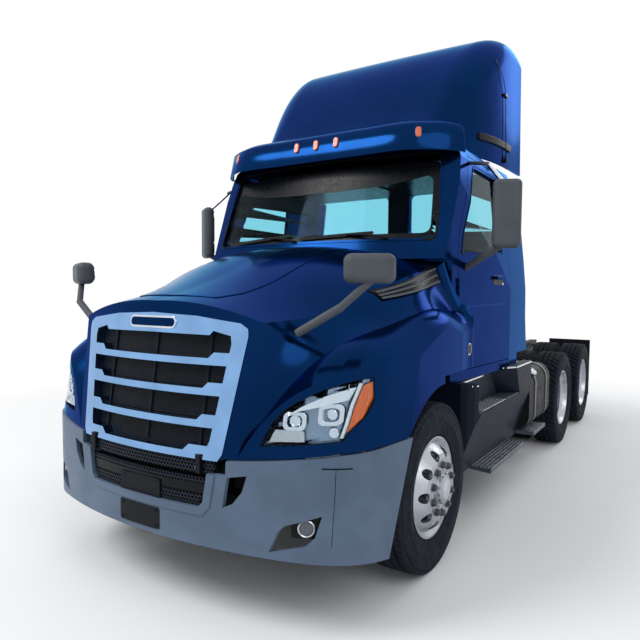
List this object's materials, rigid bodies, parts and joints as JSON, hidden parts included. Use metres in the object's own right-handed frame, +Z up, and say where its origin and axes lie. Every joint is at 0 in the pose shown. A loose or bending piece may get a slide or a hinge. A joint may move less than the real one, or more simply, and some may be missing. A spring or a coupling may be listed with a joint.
{
  "type": "semi truck tractor unit",
  "caption": "Day-cab 6x4 highway tractor with a tilting hood, opening doors, steered front axle, tandem dual drive wheels, roof fairing and tilting fifth wheel.",
  "frame": {"origin": "on the ground, at the centre of the vehicle's overall length and width", "axes": "+Z up; -Y towards the nose; +X towards the driver's (left) side"},
  "size_m": [2.88, 6.972, 3.8107],
  "materials": {
    "blue_paint": "gloss clear coat over metallic dark blue",
    "grey_plastic": "moulded grey, fine grain",
    "black_plastic": "matt moulded black",
    "chrome": "polished",
    "aluminium": "polished forged",
    "bare_aluminium": "satin",
    "chassis_black": "semi-gloss black",
    "steel": "machined steel, greased",
    "cast": "rough casting",
    "tyre": "rubber",
    "rubber": "moulded rubber",
    "glass": "tinted safety glass",
    "lamp_lens": "clear lens",
    "amber": "amber lens",
    "red": "red lens",
    "cloth": "dark grey woven cloth"
  },
  "bodies": {
    "chassis": {"air_springs": "rubber", "bumper_beam": "chassis_black", "bumper_mesh": "black_plastic", "cab_glass": "glass", "cab_shell": "blue_paint", "dashboard": "black_plastic", "drive_axles": "cast", "drive_shafts": "steel", "engine_block": "cast", "fifth_wheel_base": "cast", "fog_lamps": "lamp_lens", "frame_crossmembers": "chassis_black", "front_bumper": "grey_plastic", "fuel_tanks": "chassis_black", "gearbox": "cast", "left_frame_rail": "chassis_black", "marker_lamps": "amber", "mud_flaps": "black_plastic", "radiator": "bare_aluminium", "right_frame_rail": "chassis_black", "roof_fairing": "blue_paint", "seats": "cloth", "side_extenders": "blue_paint", "steer_axle_beam": "cast", "steer_springs": "steel", "step_fairings": "grey_plastic", "step_treads": "bare_aluminium", "sun_visor": "blue_paint", "suspension_arms": "chassis_black", "tail_lamps": "red", "tank_straps": "steel"},
    "hood": {"hood": "blue_paint", "grille_frame": "chrome", "grille_screen": "black_plastic", "headlamps": "lamp_lens", "hood_mirrors": "black_plastic", "hood_vents": "black_plastic"},
    "left_door": {"left_door": "blue_paint", "left_door_glass": "glass", "left_door_mirror": "black_plastic"},
    "right_door": {"right_door": "blue_paint", "right_door_glass": "glass", "right_door_mirror": "black_plastic"},
    "left_knuckle": {"left_steering_knuckle": "cast"},
    "right_knuckle": {"right_steering_knuckle": "cast"},
    "tie_rod": {"tie_rod": "steel"},
    "steering_wheel": {"steering_wheel": "black_plastic"},
    "fifth_wheel_plate": {"fifth_wheel_plate": "cast"},
    "left_steer_wheel": {"left_steer_wheel": "aluminium", "left_steer_tyre": "tyre"},
    "right_steer_wheel": {"right_steer_wheel": "aluminium", "right_steer_tyre": "tyre"},
    "left_front_drive_wheel": {"left_front_drive_wheels": "aluminium", "left_front_drive_tyres": "tyre"},
    "right_front_drive_wheel": {"right_front_drive_wheels": "aluminium", "right_front_drive_tyres": "tyre"},
    "left_rear_drive_wheel": {"left_rear_drive_wheels": "aluminium", "left_rear_drive_tyres": "tyre"},
    "right_rear_drive_wheel": {"right_rear_drive_wheels": "aluminium", "right_rear_drive_tyres": "tyre"}
  },
  "joints": [
    {"name": "hood_tilt", "type": "hinge", "parent": "chassis", "child": "hood", "pos_m": [0, -3.438, 0.79], "axis": [1, 0, 0], "range_deg": [0, 60]},
    {"name": "left_door_hinge", "type": "hinge", "parent": "chassis", "child": "left_door", "pos_m": [1.056, -1.648, 1.8], "axis": [0, 0, -1], "range_deg": [0, 70]},
    {"name": "right_door_hinge", "type": "hinge", "parent": "chassis", "child": "right_door", "pos_m": [-1.056, -1.648, 1.8], "axis": [0, 0, 1], "range_deg": [0, 70]},
    {"name": "left_steer", "type": "hinge", "parent": "chassis", "child": "left_knuckle", "pos_m": [0.935, -2.27, 0.505], "axis": [0, 0, 1], "range_deg": [-42, 42]},
    {"name": "right_steer", "type": "hinge", "parent": "chassis", "child": "right_knuckle", "pos_m": [-0.935, -2.27, 0.505], "axis": [0, 0, 1], "range_deg": [-42, 42]},
    {"name": "tie_rod_swing", "type": "hinge", "parent": "left_knuckle", "child": "tie_rod", "pos_m": [0.935, -2.09, 0.37], "axis": [0, 0, 1], "range_deg": [-42, 42]},
    {"name": "steering_wheel_turn", "type": "hinge", "parent": "chassis", "child": "steering_wheel", "pos_m": [0.5, -1.27, 1.8], "axis": [0, 0.6157, 0.788], "range_deg": [-756, 756]},
    {"name": "fifth_wheel_tilt", "type": "hinge", "parent": "chassis", "child": "fifth_wheel_plate", "pos_m": [0, 1.97, 1.1], "axis": [1, 0, 0], "range_deg": [-11, 11]},
    {"name": "left_steer_wheel_spin", "type": "hinge", "parent": "left_knuckle", "child": "left_steer_wheel", "pos_m": [1.035, -2.27, 0.505], "axis": [1, 0, 0], "continuous": true},
    {"name": "left_front_drive_wheel_spin", "type": "hinge", "parent": "chassis", "child": "left_front_drive_wheel", "pos_m": [0.909, 1.36, 0.505], "axis": [1, 0, 0], "continuous": true},
    {"name": "left_rear_drive_wheel_spin", "type": "hinge", "parent": "chassis", "child": "left_rear_drive_wheel", "pos_m": [0.909, 2.68, 0.505], "axis": [1, 0, 0], "continuous": true},
    {"name": "right_steer_wheel_spin", "type": "hinge", "parent": "right_knuckle", "child": "right_steer_wheel", "pos_m": [-1.035, -2.27, 0.505], "axis": [1, 0, 0], "continuous": true},
    {"name": "right_front_drive_wheel_spin", "type": "hinge", "parent": "chassis", "child": "right_front_drive_wheel", "pos_m": [-0.909, 1.36, 0.505], "axis": [1, 0, 0], "continuous": true},
    {"name": "right_rear_drive_wheel_spin", "type": "hinge", "parent": "chassis", "child": "right_rear_drive_wheel", "pos_m": [-0.909, 2.68, 0.505], "axis": [1, 0, 0], "continuous": true}
  ],
  "couplings": [
    {"joint": "right_steer", "follows": "left_steer", "ratio": 1},
    {"joint": "tie_rod_swing", "follows": "left_steer", "ratio": -1},
    {"joint": "steering_wheel_turn", "follows": "left_steer", "ratio": 18}
  ]
}
